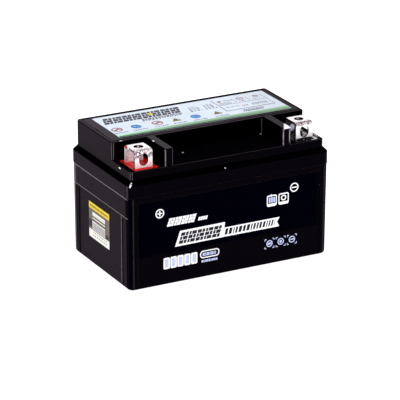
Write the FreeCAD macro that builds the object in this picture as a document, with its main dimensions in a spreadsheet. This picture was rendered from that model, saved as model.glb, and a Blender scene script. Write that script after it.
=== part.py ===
"""Sealed 12 V motorcycle battery with six cells, in millimetres.

Origin: centre of the underside. +X runs along the length, from the positive terminal to the negative one.
-Y is the terminal side, +Z is up.
"""

import FreeCAD, Part
import math
import os

import Sketcher

CELLS = 6
POSITIVE_PLATES = 4
NEGATIVE_PLATES = 5
SEPARATORS = POSITIVE_PLATES + NEGATIVE_PLATES - 1

# The driving dimensions. Each becomes a named cell of the sheet "Size".
DIMENSIONS = {
    # the case as a whole
    "case_length": 150.0,
    "case_width": 87.0,
    "case_height": 94.0,
    # container
    "rim_base": 64.3,
    "wall_inset": 0.4,
    "wall_draft": 0.35,
    "case_corner": 4.2,
    "foot_round": 2.4,
    "wall_edge_round": 0.6,
    "cavity_length": 142.6,
    "cavity_width": 79.6,
    "partition": 1.5,
    "floor_thick": 2.5,
    "rest_bar_height": 2.5,
    "rest_bar_width": 2.0,
    "rest_bar_offset": 22.0,
    # shallow panels moulded into the container's walls
    "end_panel_top": 50.2,
    "end_panel_front": 30.5,
    "end_panel_back": 34.0,
    "end_panel_depth": 1.7,
    "end_frame_front": 38.0,
    "end_frame_back": 37.0,
    "end_frame_depth": 1.25,
    "side_panel_top": 60.4,
    "side_panel_half": 68.0,
    "side_panel_depth": 1.35,
    # lid
    "rim_top": 73.1,
    "rim_corner": 4.8,
    "shoulder": 3.15,
    "shoulder_ledge": 0.05,
    "step_top": 81.7,
    "step_corner": 2.05,
    "block_front": 13.4,
    "rib_inner": 40.8,
    "rib_outer": 46.8,
    "rib_corner": 1.3,
    "edge_round": 0.5,
    "roof_low": 75.4,
    "roof_high": 81.5,
    "roof_high_front": 9.0,
    "roof_high_back": 36.8,
    # wells that hold the terminals
    "well_inner": 51.2,
    "well_outer": 69.0,
    "well_front": 38.6,
    "well_back": 15.0,
    "well_floor": 79.0,
    "well_corner": 1.2,
    "resin_level": 80.6,
    # valve trough, chimneys, caps and the cover over them
    "cover_margin": 1.7,
    "cover_gap": 0.2,
    "cover_thick": 2.2,
    "cover_corner": 1.5,
    "cover_edge": 0.35,
    "ledge": 2.0,
    "trough_floor": 84.0,
    "valve_line": 14.0,
    "vent_bore": 5.0,
    "chimney_outer": 8.0,
    "chimney_top": 89.0,
    "cap_outer": 10.5,
    "cap_clearance": 0.05,
    "cap_skirt": 85.0,
    "cap_top": 90.35,
    "cap_travel": 0.4,
    "cap_edge": 0.6,
    "boss_diameter": 6.0,
    "vent_notch": 1.3,
    # labels
    "label_thick": 0.15,
    "top_label_left": 62.8,
    "top_label_right": 66.4,
    "top_label_front": 6.5,
    "top_label_back": 35.6,
    "side_label_front": 11.0,
    "side_label_back": 19.3,
    "side_label_low": 18.4,
    "side_label_high": 43.3,
    # terminal brackets; both stand a little nearer to the negative end
    "terminal_x": 59.85,
    "terminal_shift": 1.1,
    "terminal_y": 25.6,
    "bracket_width": 12.8,
    "bracket_depth": 15.2,
    "bracket_top": 93.0,
    "bracket_sheet": 1.5,
    "bracket_bend": 2.2,
    "top_hole": 6.5,
    "slot_width": 6.5,
    "slot_height": 8.4,
    "slot_level": 86.5,
    # terminal posts and their rubber rings
    "post_diameter": 7.0,
    "post_hole": 8.2,
    "head_width": 10.0,
    "head_top": 80.2,
    "ring_outer": 11.0,
    "ring_thick": 1.2,
    # plates, separators and straps
    "plate_foot": 5.0,
    "plate_top": 49.0,
    "plate_half": 38.0,
    "separator_foot": 5.0,
    "separator_top": 50.5,
    "separator_half": 38.8,
    "positive_plate": 1.9,
    "negative_plate": 1.4,
    "separator": 0.975,
    "lug_width": 9.0,
    "strap_y": 26.2,
    "strap_width": 12.0,
    "strap_base": 53.0,
    "strap_top": 57.0,
    "strap_margin": 1.0,
    "tab_thick": 2.6,
    "tab_top": 62.6,
    "weld_diameter": 5.0,
    "weld_level": 59.6,
}

document = FreeCAD.newDocument("Battery")


def make_sheet():
    """Put the driving dimensions in a spreadsheet, one named cell each."""
    sheet = document.addObject("Spreadsheet::Sheet", "Size")
    for row, (alias, value) in enumerate(DIMENSIONS.items(), start=1):
        sheet.set(f"A{row}", alias)
        sheet.set(f"B{row}", str(value))
        sheet.setAlias(f"B{row}", alias)
    document.recompute()
    return sheet


size_sheet = make_sheet()
sub_parts = []


def size(alias):
    """The value of one cell, for the starting geometry of a sketch and for choosing edges."""
    return float(getattr(size_sheet, alias))


# Expressions that several pieces share.
HALF_LENGTH = "Size.case_length / 2"
HALF_WIDTH = "Size.case_width / 2"
STEP_HALF_LENGTH = "(Size.case_length / 2 - Size.shoulder)"
STEP_HALF_WIDTH = "(Size.case_width / 2 - Size.shoulder)"
BLOCK_TOP = "(Size.case_height - Size.label_thick)"
COVER_BASE = "(Size.case_height - Size.label_thick - Size.cover_thick)"
CELL_WIDTH = f"((Size.cavity_length - {CELLS - 1} * Size.partition) / {CELLS})"
STACK_WIDTH = (
    f"({POSITIVE_PLATES} * Size.positive_plate + {NEGATIVE_PLATES} * Size.negative_plate"
    f" + {SEPARATORS} * Size.separator)"
)


def cell_start(cell):
    """The left wall of a cell, counted from 0."""
    return f"(-Size.cavity_length / 2 + {cell} * ({CELL_WIDTH} + Size.partition))"


def cell_middle(cell):
    return f"({cell_start(cell)} + {CELL_WIDTH} / 2)"


def terminal_middle(side):
    """The X of a terminal's centre. Side is -1 for the positive terminal and 1 for the negative one."""
    return f"({side} * Size.terminal_x + Size.terminal_shift)"


def well_walls(side):
    """The left and right walls of a terminal's well."""
    inner = f"({side} * Size.well_inner + Size.terminal_shift)"
    outer = f"({side} * Size.well_outer + Size.terminal_shift)"
    return (outer, inner) if side < 0 else (inner, outer)


# ---------------------------------------------------------------- helpers


def finished(thing, label):
    """Name a sub-part and remember it for the export."""
    thing.Label = label
    sub_parts.append(thing)
    return thing


def new_body(name):
    return document.addObject("PartDesign::Body", name)


def new_sketch(body, name, role, offset):
    """A sketch on one of the body's own origin planes, moved along the plane's normal."""
    plane = next(f for f in body.Origin.OriginFeatures if f.Role == role)
    sketch = body.newObject("Sketcher::SketchObject", name)
    sketch.AttachmentSupport = (plane, [""])
    sketch.MapMode = "FlatFace"
    sketch.setExpression("AttachmentOffset.Base.z", offset)
    return sketch


def bind(sketch, constraint, expression):
    """Add a driving constraint and hold its value with an expression."""
    index = sketch.addConstraint(constraint)
    sketch.setExpression(f"Constraints[{index}]", expression)


def add_rectangle(sketch, low_u, high_u, low_v, high_v):
    """A rectangle whose four sides are held by expressions."""
    first = sketch.GeometryCount
    corners = [(-1, -1), (1, -1), (1, 1), (-1, 1)]
    for here, there in zip(corners, corners[1:] + corners[:1]):
        sketch.addGeometry(Part.LineSegment(FreeCAD.Vector(*here, 0), FreeCAD.Vector(*there, 0)))
    for side in range(4):
        sketch.addConstraint(Sketcher.Constraint("Coincident", first + side, 2, first + (side + 1) % 4, 1))
        direction = "Horizontal" if side % 2 == 0 else "Vertical"
        sketch.addConstraint(Sketcher.Constraint(direction, first + side))
    bind(sketch, Sketcher.Constraint("DistanceX", -1, 1, first, 1, -1.0), low_u)
    bind(sketch, Sketcher.Constraint("DistanceY", -1, 1, first, 1, -1.0), low_v)
    bind(sketch, Sketcher.Constraint("DistanceX", -1, 1, first + 1, 2, 1.0), high_u)
    bind(sketch, Sketcher.Constraint("DistanceY", -1, 1, first + 1, 2, 1.0), high_v)


def add_circle(sketch, centre_u, centre_v, diameter):
    """A circle held by its centre and its diameter."""
    index = sketch.GeometryCount
    sketch.addGeometry(Part.Circle(FreeCAD.Vector(1, 1, 0), FreeCAD.Vector(0, 0, 1), 1.0))
    bind(sketch, Sketcher.Constraint("DistanceX", -1, 1, index, 3, 1.0), centre_u)
    bind(sketch, Sketcher.Constraint("DistanceY", -1, 1, index, 3, 1.0), centre_v)
    bind(sketch, Sketcher.Constraint("Radius", index, 1.0), f"{diameter} / 2")


def add_upright_slot(sketch, centre_v, width, height):
    """A slot with round ends, centred on the sketch's vertical axis."""
    radius = size(width) / 2
    reach = size(height) / 2 - radius
    level = size(centre_v)
    up = FreeCAD.Vector(0, 0, 1)
    top = Part.Circle(FreeCAD.Vector(0, level + reach, 0), up, radius)
    bottom = Part.Circle(FreeCAD.Vector(0, level - reach, 0), up, radius)
    sketch.addGeometry(Part.ArcOfCircle(top, 0, math.pi))
    sketch.addGeometry(Part.ArcOfCircle(bottom, math.pi, 2 * math.pi))
    for side in (-radius, radius):
        low = FreeCAD.Vector(side, level - reach, 0)
        high = FreeCAD.Vector(side, level + reach, 0)
        sketch.addGeometry(Part.LineSegment(low, high))
    for arc, end, line, line_end in ((0, 2, 2, 2), (0, 1, 3, 2), (1, 1, 2, 1), (1, 2, 3, 1)):
        sketch.addConstraint(Sketcher.Constraint("Tangent", arc, end, line, line_end))
    sketch.addConstraint(Sketcher.Constraint("Vertical", 2))
    sketch.addConstraint(Sketcher.Constraint("PointOnObject", 0, 3, -2))
    bind(sketch, Sketcher.Constraint("Radius", 0, radius), f"Size.{width} / 2")
    bind(
        sketch,
        Sketcher.Constraint("DistanceY", -1, 1, 0, 3, level + reach),
        f"Size.{centre_v} + (Size.{height} - Size.{width}) / 2",
    )
    bind(
        sketch,
        Sketcher.Constraint("DistanceY", -1, 1, 1, 3, level - reach),
        f"Size.{centre_v} - (Size.{height} - Size.{width}) / 2",
    )


def pad(body, name, sketch, length, both_ways=False):
    feature = body.newObject("PartDesign::Pad", name)
    feature.Profile = sketch
    feature.setExpression("Length", length)
    feature.Midplane = both_ways
    document.recompute()
    return feature


def pocket(body, name, sketch, depth, upward=False, both_ways=False):
    """Cut a sketch out of the body, and stop if nothing was cut."""
    before = body.Shape.Volume
    feature = body.newObject("PartDesign::Pocket", name)
    feature.Profile = sketch
    feature.setExpression("Length", depth)
    feature.Reversed = upward
    feature.Midplane = both_ways
    document.recompute()
    if body.Shape.Volume > before - 0.1:
        raise RuntimeError(f"{name} cut nothing from {body.Name}")
    return feature


def edges_where(shape, test):
    return [f"Edge{number}" for number, edge in enumerate(shape.Edges, start=1) if test(edge)]


def round_edges(body, name, radius, test, kind="PartDesign::Fillet"):
    """Fillet, or chamfer, every edge of the body's tip that passes the test."""
    tip = body.Tip
    chosen = edges_where(tip.Shape, test)
    if not chosen:
        raise RuntimeError(f"{name} found no edge")
    feature = body.newObject(kind, name)
    feature.Base = (tip, chosen)
    feature.setExpression("Radius" if kind.endswith("Fillet") else "Size", radius)
    document.recompute()
    return feature


def is_upright(edge):
    """True for a straight edge that rises more than it leans."""
    start, end = edge.Vertexes[0].Point, edge.Vertexes[-1].Point
    rise = abs(end.z - start.z)
    return rise > 0.5 and rise > 0.9 * (end - start).Length


def is_level_at(edge, height, tolerance=0.02):
    """True when both ends and the middle of an edge lie at one height."""
    halfway = edge.valueAt((edge.FirstParameter + edge.LastParameter) / 2)
    heights = [vertex.Z for vertex in edge.Vertexes] + [halfway.z]
    return all(abs(z - height) < tolerance for z in heights)


def middle(edge):
    return edge.BoundBox.Center


def place(thing, **coordinates):
    """Bind a placement's coordinates to expressions."""
    for axis, expression in coordinates.items():
        thing.setExpression(f"Placement.Base.{axis}", expression)
    return thing


def new_box(name, low, spans):
    """A box from its low corner and its three spans, all expressions."""
    box = document.addObject("Part::Box", name)
    for prop, expression in zip(("Length", "Width", "Height"), spans):
        box.setExpression(prop, expression)
    return place(box, x=low[0], y=low[1], z=low[2])


def new_cylinder(name, base, diameter, height, along_x=False):
    """A cylinder that stands on its base, or lies along X."""
    cylinder = document.addObject("Part::Cylinder", name)
    if along_x:
        cylinder.Placement.Rotation = FreeCAD.Rotation(FreeCAD.Vector(0, 1, 0), 90)
    cylinder.setExpression("Radius", f"{diameter} / 2")
    cylinder.setExpression("Height", height)
    return place(cylinder, x=base[0], y=base[1], z=base[2])


def cut(name, base, tool):
    result = document.addObject("Part::Cut", name)
    result.Base = base
    result.Tool = tool
    return result


def fuse(name, shapes):
    result = document.addObject("Part::MultiFuse", name)
    result.Shapes = shapes
    result.Refine = True
    return result


def group(name, shapes):
    """Separate solids that share one node."""
    result = document.addObject("Part::Compound", name)
    result.Links = shapes
    return result


def add_cells(sketch):
    """The plan of the six cells."""
    for cell in range(CELLS):
        start = cell_start(cell)
        add_rectangle(
            sketch, start, f"{start} + {CELL_WIDTH}", "-Size.cavity_width / 2", "Size.cavity_width / 2"
        )


# ---------------------------------------------------------------- container


def container_walls(body):
    """The drafted outer block, with its corners and foot rounded."""
    foot = new_sketch(body, "ContainerFoot", "XY_Plane", "0")
    reach_x = f"({HALF_LENGTH} - Size.wall_inset - Size.wall_draft)"
    reach_y = f"({HALF_WIDTH} - Size.wall_inset - Size.wall_draft)"
    add_rectangle(foot, f"-{reach_x}", reach_x, f"-{reach_y}", reach_y)
    block = pad(body, "ContainerBlock", foot, "Size.rim_base")
    block.setExpression("TaperAngle", "atan(Size.wall_draft / Size.rim_base)")
    document.recompute()
    round_edges(body, "ContainerCorners", "Size.case_corner", is_upright)
    round_edges(body, "ContainerFootRound", "Size.foot_round", lambda e: is_level_at(e, 0))
    top_level = size("rim_base")
    round_edges(body, "ContainerTopRound", "Size.wall_edge_round", lambda e: is_level_at(e, top_level))


def container_panels(body):
    """Shallow panels in the outer walls, with upright floors. The label lies in the left one."""
    beyond = f"({HALF_LENGTH} + 5)"
    for name, front, back, depth in (
        ("EndFrames", "Size.end_frame_front", "Size.end_frame_back", "Size.end_frame_depth"),
        ("EndPanels", "Size.end_panel_front", "Size.end_panel_back", "Size.end_panel_depth"),
    ):
        sketch = new_sketch(body, f"{name}Plan", "XY_Plane", "Size.end_panel_top")
        face = f"({HALF_LENGTH} - {depth})"
        add_rectangle(sketch, f"-{beyond}", f"-{face}", f"-{front}", back)
        add_rectangle(sketch, face, beyond, f"-{front}", back)
        pocket(body, name, sketch, "Size.end_panel_top")
    sketch = new_sketch(body, "SidePanelsPlan", "XY_Plane", "Size.side_panel_top")
    face = f"({HALF_WIDTH} - Size.side_panel_depth)"
    beyond = f"({HALF_WIDTH} + 5)"
    add_rectangle(sketch, "-Size.side_panel_half", "Size.side_panel_half", f"-{beyond}", f"-{face}")
    add_rectangle(sketch, "-Size.side_panel_half", "Size.side_panel_half", face, beyond)
    pocket(body, "SidePanels", sketch, "Size.side_panel_top")


def container_cells(body):
    """Six cells, the bars that the plates rest on, and a weld hole through each partition."""
    plan = new_sketch(body, "CellPlan", "XY_Plane", "Size.rim_base")
    add_cells(plan)
    pocket(body, "Cells", plan, "Size.rim_base - Size.floor_thick")
    bars = new_sketch(body, "RestBarPlan", "XY_Plane", "Size.floor_thick")
    for side in (-1, 1):
        low = f"({side} * Size.rest_bar_offset - Size.rest_bar_width / 2)"
        reach = "(Size.cavity_length / 2 + Size.floor_thick / 2)"
        add_rectangle(bars, f"-{reach}", reach, low, f"{low} + Size.rest_bar_width")
    pad(body, "RestBars", bars, "Size.rest_bar_height")
    for wall in range(CELLS - 1):
        side = 1 if wall % 2 == 0 else -1
        middle_x = f"({cell_start(wall + 1)} - Size.partition / 2)"
        sketch = new_sketch(body, f"WeldHole{wall + 1}Plan", "YZ_Plane", middle_x)
        add_circle(sketch, f"{side} * Size.strap_y", "Size.weld_level", "Size.weld_diameter")
        pocket(body, f"WeldHole{wall + 1}", sketch, "Size.partition * 2", both_ways=True)


def make_container():
    body = new_body("Container")
    container_walls(body)
    container_panels(body)
    container_cells(body)
    return finished(body, "container")


# ---------------------------------------------------------------- lid


def lid_block(body):
    """The tall block at the back, with its four upright corners rounded."""
    plan = new_sketch(body, "BlockPlan", "XY_Plane", "Size.rim_base")
    add_rectangle(plan, f"-{STEP_HALF_LENGTH}", STEP_HALF_LENGTH, "-Size.block_front", STEP_HALF_WIDTH)
    pad(body, "Block", plan, f"{BLOCK_TOP} - Size.rim_base")
    round_edges(body, "BlockCorners", "Size.step_corner", is_upright)


def lid_step(body):
    """The low step in front of the block. Its side walls are flush with the block's."""
    plan = new_sketch(body, "StepPlan", "XY_Plane", "Size.rim_base")
    behind = "(Size.step_corner + 1 - Size.block_front)"
    add_rectangle(plan, f"-{STEP_HALF_LENGTH}", STEP_HALF_LENGTH, f"-{STEP_HALF_WIDTH}", behind)
    pad(body, "Step", plan, "Size.step_top - Size.rim_base")
    front = size("shoulder") - size("case_width") / 2
    round_edges(
        body, "StepCorners", "Size.step_corner", lambda e: is_upright(e) and abs(middle(e).y - front) < 0.01
    )


def lid_ribs(body):
    """The two ribs that run forward from the block and end flush with the step's front wall."""
    base = "(Size.step_top - 0.5)"
    plan = new_sketch(body, "RibPlan", "XY_Plane", base)
    for low, high in (("-Size.rib_outer", "-Size.rib_inner"), ("Size.rib_inner", "Size.rib_outer")):
        add_rectangle(plan, low, high, f"-{STEP_HALF_WIDTH}", "-Size.block_front + 1")
    pad(body, "Ribs", plan, f"{BLOCK_TOP} - {base}")
    front = size("shoulder") - size("case_width") / 2
    step = size("step_top")
    round_edges(
        body,
        "RibCorners",
        "Size.rib_corner",
        lambda e: is_upright(e) and e.BoundBox.ZMax > step + 1 and abs(middle(e).y - front) < 0.01,
    )


def lid_rim(body):
    """The overhanging rim round the block and the step, with its sloped shoulder."""
    sketch = new_sketch(body, "RimPlan", "XY_Plane", "Size.rim_base")
    add_rectangle(sketch, f"-{HALF_LENGTH}", HALF_LENGTH, f"-{HALF_WIDTH}", HALF_WIDTH)
    pad(body, "Rim", sketch, "Size.rim_top + Size.shoulder - Size.rim_base")
    reach = size("case_length") / 2
    round_edges(
        body, "RimCorners", "Size.rim_corner", lambda e: is_upright(e) and abs(middle(e).x) > reach - 0.01
    )
    shoulder_top = size("rim_top") + size("shoulder")
    inner_reach = reach - size("shoulder") + 0.5
    inner_depth = size("case_width") / 2 - size("shoulder") + 0.5

    def is_outer(edge):
        point = middle(edge)
        return abs(point.x) > inner_reach or abs(point.y) > inner_depth

    round_edges(
        body,
        "Shoulder",
        "Size.shoulder - Size.shoulder_ledge",
        lambda e: is_level_at(e, shoulder_top) and is_outer(e),
        "PartDesign::Chamfer",
    )


def lid_edges(body):
    """Small rounds on the edges that catch the light."""
    block_top = size("case_height") - size("label_thick")
    round_edges(body, "BlockTopRound", "Size.edge_round", lambda e: is_level_at(e, block_top))
    rim_base = size("rim_base")
    round_edges(body, "RimBaseRound", "Size.edge_round", lambda e: is_level_at(e, rim_base))


def lid_wells(body):
    """The two terminal wells, each with a hole for the post and a seat for its rubber ring."""
    wells = new_sketch(body, "WellPlan", "XY_Plane", "Size.step_top")
    for side in (-1, 1):
        add_rectangle(wells, *well_walls(side), "-Size.well_front", "-Size.well_back")
    pocket(body, "Wells", wells, "Size.step_top - Size.well_floor")
    floor, top = size("well_floor"), size("step_top")
    round_edges(
        body,
        "WellCorners",
        "Size.well_corner",
        lambda e: is_upright(e) and abs(e.BoundBox.ZMin - floor) < 0.01 and abs(e.BoundBox.ZMax - top) < 0.01,
    )
    seats = new_sketch(body, "RingSeatPlan", "XY_Plane", "Size.well_floor")
    holes = new_sketch(body, "PostHolePlan", "XY_Plane", "Size.well_floor")
    for side in (-1, 1):
        add_circle(seats, terminal_middle(side), "-Size.terminal_y", "Size.ring_outer")
        add_circle(holes, terminal_middle(side), "-Size.terminal_y", "Size.post_hole")
    pocket(body, "RingSeats", seats, "Size.ring_thick")
    pocket(body, "PostHoles", holes, "Size.well_floor - Size.roof_low + 1")


def lid_inside(body):
    """The hollows over the cells, higher under the block."""
    low = new_sketch(body, "LowRoofPlan", "XY_Plane", "Size.rim_base")
    add_cells(low)
    pocket(body, "LowRoof", low, "Size.roof_low - Size.rim_base", upward=True)
    high = new_sketch(body, "HighRoofPlan", "XY_Plane", "Size.roof_low - 0.5")
    for cell in range(CELLS):
        start = cell_start(cell)
        add_rectangle(
            high,
            f"{start} + 1",
            f"{start} + {CELL_WIDTH} - 1",
            "-Size.roof_high_front",
            "Size.roof_high_back",
        )
    pocket(body, "HighRoof", high, "Size.roof_high - Size.roof_low + 0.5", upward=True)


def lid_valve_seat(body):
    """The ledge for the cover, the trough under it and the six vent chimneys."""
    ledge = new_sketch(body, "LedgePlan", "XY_Plane", BLOCK_TOP)
    add_rectangle(
        ledge,
        f"-({STEP_HALF_LENGTH} - Size.cover_margin)",
        f"{STEP_HALF_LENGTH} - Size.cover_margin",
        "-Size.block_front + Size.cover_margin",
        f"{STEP_HALF_WIDTH} - Size.cover_margin",
    )
    pocket(body, "Ledge", ledge, "Size.cover_thick")
    trough = new_sketch(body, "TroughPlan", "XY_Plane", COVER_BASE)
    margin = "(Size.cover_margin + Size.ledge)"
    add_rectangle(
        trough,
        f"-({STEP_HALF_LENGTH} - {margin})",
        f"{STEP_HALF_LENGTH} - {margin}",
        f"-Size.block_front + {margin}",
        f"{STEP_HALF_WIDTH} - {margin}",
    )
    pocket(body, "Trough", trough, f"{COVER_BASE} - Size.trough_floor")
    chimneys = new_sketch(body, "ChimneyPlan", "XY_Plane", "Size.trough_floor - 0.5")
    vents = new_sketch(body, "VentPlan", "XY_Plane", "Size.chimney_top")
    for cell in range(CELLS):
        add_circle(chimneys, cell_middle(cell), "Size.valve_line", "Size.chimney_outer")
        add_circle(vents, cell_middle(cell), "Size.valve_line", "Size.vent_bore")
    pad(body, "Chimneys", chimneys, "Size.chimney_top - Size.trough_floor + 0.5")
    pocket(body, "Vents", vents, "Size.chimney_top - Size.roof_high + 1")


def make_lid():
    body = new_body("Lid")
    lid_block(body)
    lid_step(body)
    lid_ribs(body)
    lid_rim(body)
    lid_edges(body)
    lid_wells(body)
    lid_inside(body)
    lid_valve_seat(body)
    return finished(body, "lid")


# ---------------------------------------------------------------- valve cover and caps


def make_valve_cover():
    """The plate let into the block's top, with a boss over each cap and a vent notch at its left edge."""
    body = new_body("ValveCover")
    margin = "(Size.cover_margin + Size.cover_gap)"
    left = f"-({STEP_HALF_LENGTH} - {margin})"
    plan = new_sketch(body, "CoverPlan", "XY_Plane", COVER_BASE)
    add_rectangle(
        plan,
        left,
        f"{STEP_HALF_LENGTH} - {margin}",
        f"-Size.block_front + {margin}",
        f"{STEP_HALF_WIDTH} - {margin}",
    )
    pad(body, "CoverPlate", plan, "Size.cover_thick")
    top = size("case_height") - size("label_thick")
    round_edges(body, "CoverCorners", "Size.cover_corner", is_upright)
    round_edges(body, "CoverEdge", "Size.cover_edge", lambda e: is_level_at(e, top))
    notch = new_sketch(body, "NotchPlan", "XY_Plane", BLOCK_TOP)
    add_circle(notch, left, "Size.valve_line", "2 * Size.vent_notch")
    pocket(body, "VentNotch", notch, "Size.cover_thick")
    bosses = new_sketch(body, "BossPlan", "XY_Plane", "Size.cap_top + Size.cap_travel")
    for cell in range(CELLS):
        add_circle(bosses, cell_middle(cell), "Size.valve_line", "Size.boss_diameter")
    pad(body, "Bosses", bosses, f"{COVER_BASE} - Size.cap_top - Size.cap_travel + 0.5")
    return finished(body, "valve_cover")


def make_valve_cap(cell):
    """A rubber cap over one chimney. It lifts against its cover boss when the cell vents."""
    number = cell + 1
    body = new_body(f"ValveCap{number}")
    outline = new_sketch(body, f"CapPlan{number}", "XY_Plane", "Size.cap_skirt")
    add_circle(outline, cell_middle(cell), "Size.valve_line", "Size.cap_outer")
    pad(body, f"CapBlock{number}", outline, "Size.cap_top - Size.cap_skirt")
    top = size("cap_top")
    round_edges(body, f"CapEdge{number}", "Size.cap_edge", lambda e: is_level_at(e, top))
    bore = new_sketch(body, f"CapBorePlan{number}", "XY_Plane", "Size.cap_skirt")
    bore_diameter = "(Size.chimney_outer + 2 * Size.cap_clearance)"
    add_circle(bore, cell_middle(cell), "Size.valve_line", bore_diameter)
    pocket(body, f"CapBore{number}", bore, "Size.chimney_top - Size.cap_skirt", upward=True)
    return finished(body, f"valve_cap_{number}")


# ---------------------------------------------------------------- labels


def make_labels():
    """A sheet on the valve cover and one in the left end panel."""
    top = new_box(
        "TopLabel",
        ("-Size.top_label_left", "-Size.top_label_front", BLOCK_TOP),
        (
            "Size.top_label_left + Size.top_label_right",
            "Size.top_label_front + Size.top_label_back",
            "Size.label_thick",
        ),
    )
    face = f"({HALF_LENGTH} - Size.end_panel_depth)"
    side = new_box(
        "SideLabel",
        (f"-{face} - Size.label_thick", "-Size.side_label_front", "Size.side_label_low"),
        (
            "Size.label_thick",
            "Size.side_label_front + Size.side_label_back",
            "Size.side_label_high - Size.side_label_low",
        ),
    )
    finished(top, "top_label")
    finished(side, "side_label")


# ---------------------------------------------------------------- terminals


def make_terminal(pole, side):
    """A bracket bent from tinned sheet, with a round hole on top and an upright slot in front."""
    body = new_body(f"{pole.title()}Terminal")
    half_depth = "Size.bracket_depth / 2"
    outline = new_sketch(body, f"{pole}BracketOutline", "YZ_Plane", "0")
    add_rectangle(
        outline,
        f"-Size.terminal_y - {half_depth}",
        f"-Size.terminal_y + {half_depth}",
        "Size.well_floor",
        "Size.bracket_top",
    )
    pad(body, f"{pole}BracketBlock", outline, "Size.bracket_width", both_ways=True)
    top, inner_top = size("bracket_top"), size("bracket_top") - size("bracket_sheet")

    def runs_along_x_at(edge, height):
        return is_level_at(edge, height) and edge.BoundBox.XLength > 5

    round_edges(body, f"{pole}OuterBend", "Size.bracket_bend", lambda e: runs_along_x_at(e, top))
    inside = new_sketch(body, f"{pole}BracketInside", "YZ_Plane", "0")
    add_rectangle(
        inside,
        f"-Size.terminal_y - {half_depth} + Size.bracket_sheet",
        f"-Size.terminal_y + {half_depth} - Size.bracket_sheet",
        "Size.well_floor - 1",
        "Size.bracket_top - Size.bracket_sheet",
    )
    pocket(body, f"{pole}BracketHollow", inside, "Size.bracket_width + 2", both_ways=True)
    round_edges(
        body,
        f"{pole}InnerBend",
        "Size.bracket_bend - Size.bracket_sheet",
        lambda e: runs_along_x_at(e, inner_top),
    )
    hole = new_sketch(body, f"{pole}TopHolePlan", "XY_Plane", "Size.bracket_top")
    add_circle(hole, "0", "-Size.terminal_y", "Size.top_hole")
    pocket(body, f"{pole}TopHole", hole, "Size.bracket_sheet + 1")
    # The XZ plane's normal points to -Y, so its offset is counted towards the front.
    slot = new_sketch(body, f"{pole}SlotPlan", "XZ_Plane", f"Size.terminal_y + {half_depth}")
    add_upright_slot(slot, "slot_level", "slot_width", "slot_height")
    pocket(body, f"{pole}Slot", slot, "Size.bracket_sheet * 2")
    place(body, x=terminal_middle(side))
    return finished(body, f"{pole}_terminal")


def make_post(pole, side):
    """The lead post that carries the current from the strap up to the bracket's feet."""
    centre = (terminal_middle(side), "-Size.terminal_y")
    stem = new_cylinder(
        f"{pole}Stem", (*centre, "Size.strap_top"), "Size.post_diameter", "Size.well_floor - Size.strap_top"
    )
    head_depth = "(Size.bracket_depth - 2 * Size.bracket_sheet)"
    head = new_box(
        f"{pole}Head",
        (f"{centre[0]} - Size.head_width / 2", f"{centre[1]} - {head_depth} / 2", "Size.well_floor"),
        ("Size.head_width", head_depth, "Size.head_top - Size.well_floor"),
    )
    return finished(fuse(f"{pole}Post", [stem, head]), f"{pole}_terminal_post")


def make_post_ring(pole, side):
    """The rubber ring that seals the post in the well's floor."""
    base = (terminal_middle(side), "-Size.terminal_y", "Size.well_floor - Size.ring_thick")
    outer = new_cylinder(f"{pole}RingOuter", base, "Size.ring_outer", "Size.ring_thick")
    inner = new_cylinder(f"{pole}RingInner", base, "Size.post_diameter", "Size.ring_thick")
    return finished(cut(f"{pole}Ring", outer, inner), f"{pole}_post_ring")


def make_seal(pole, side, terminal, post):
    """The pool of cast resin that fills the well round the bracket's feet."""
    body = new_body(f"{pole.title()}Seal")
    plan = new_sketch(body, f"{pole}SealPlan", "XY_Plane", "Size.well_floor")
    add_rectangle(plan, *well_walls(side), "-Size.well_front", "-Size.well_back")
    pad(body, f"{pole}SealBlock", plan, "Size.resin_level - Size.well_floor")
    round_edges(body, f"{pole}SealCorners", "Size.well_corner", is_upright)
    around_terminal = cut(f"{pole}SealRoundTerminal", body, terminal)
    return finished(cut(f"{pole}SealRoundPost", around_terminal, post), f"{pole}_terminal_seal")


# ---------------------------------------------------------------- cells


def plate_stack(cell):
    """Yield kind, number, left face and thickness for each layer of a cell, from left to right."""
    start = f"({cell_middle(cell)} - {STACK_WIDTH} / 2)"
    plates = POSITIVE_PLATES + NEGATIVE_PLATES
    for layer in range(plates + SEPARATORS):
        plate, is_separator = divmod(layer, 2)
        negatives = (plate + 1 + is_separator) // 2 if is_separator else (plate + 1) // 2
        positives = plate + is_separator - negatives if is_separator else plate - negatives
        left = (
            f"({start} + {negatives} * Size.negative_plate + {positives} * Size.positive_plate"
            f" + {plate} * Size.separator)"
        )
        if is_separator:
            yield "separator", plate, left, "Size.separator"
        elif plate % 2 == 0:
            yield "negative", plate // 2, left, "Size.negative_plate"
        else:
            yield "positive", plate // 2, left, "Size.positive_plate"


def strap_side(cell, pole):
    """-1 when a cell's strap is at the terminal side, 1 when it is at the back. Neighbours alternate."""
    front_pole = "positive" if cell % 2 == 0 else "negative"
    return -1 if pole == front_pole else 1


def make_plate(name, left, thickness, lug_middle):
    """A pasted plate with the lug that its strap is cast onto."""
    slab = new_box(
        f"{name}Slab",
        (left, "-Size.plate_half", "Size.plate_foot"),
        (thickness, "2 * Size.plate_half", "Size.plate_top - Size.plate_foot"),
    )
    lug = new_box(
        f"{name}Lug",
        (left, f"{lug_middle} - Size.lug_width / 2", "Size.plate_top"),
        (thickness, "Size.lug_width", "Size.strap_base - Size.plate_top"),
    )
    return fuse(name, [slab, lug])


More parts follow.
